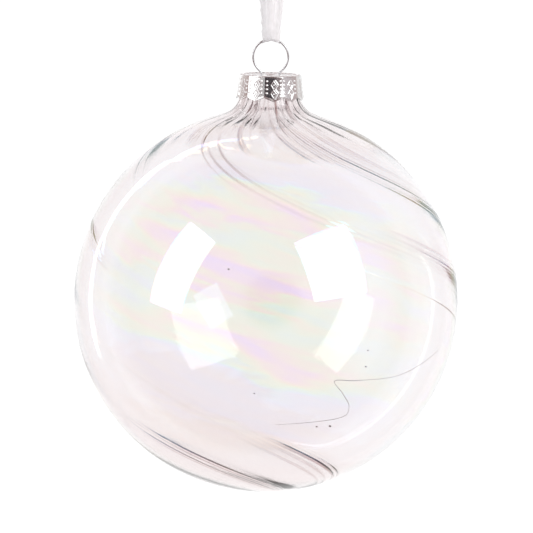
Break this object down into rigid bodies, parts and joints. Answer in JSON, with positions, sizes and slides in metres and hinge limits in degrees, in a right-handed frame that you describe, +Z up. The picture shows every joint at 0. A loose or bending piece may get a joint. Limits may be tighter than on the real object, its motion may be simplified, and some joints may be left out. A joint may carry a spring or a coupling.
{
  "type": "glass ball ornament",
  "caption": "Hanging clear glass ball with spiral ribs and a pearl sheen, a stamped silver cap, a wire ring and a sheer white ribbon loop.",
  "frame": {"origin": "inside top of the ribbon loop, where a hook or twig carries the ornament", "axes": "+Z up, X across the wire ring, -Y the front"},
  "size_m": [0.1003, 0.1, 0.1932],
  "materials": {
    "blown_glass": "clear, with a thin pearl film",
    "cap_metal": "bright stamped sheet",
    "hanger_steel": "drawn wire",
    "ribbon_organza": "sheer plain weave"
  },
  "bodies": {
    "ribbon": {"ribbon_loop": "ribbon_organza"},
    "hanger": {"hanger_wire": "hanger_steel"},
    "cap": {"cap": "cap_metal"},
    "ball": {"glass_ball": "blown_glass"}
  },
  "joints": [
    {"name": "hanger_swing", "type": "hinge", "parent": "ribbon", "child": "hanger", "pos_m": [0, 0, -0.06], "axis": [1, 0, 0], "range_deg": [-120, 120]},
    {"name": "cap_slide", "type": "slide", "parent": "hanger", "child": "cap", "axis": [0, 0, -1], "range_m": [0, 0.003], "stiffness_N_per_m": 600, "springref_m": -0.002},
    {"name": "ball_release", "type": "slide", "parent": "cap", "child": "ball", "axis": [0, 0, -1], "range_m": [0, 0.025], "stiffness_N_per_m": 600, "springref_m": -0.002}
  ]
}
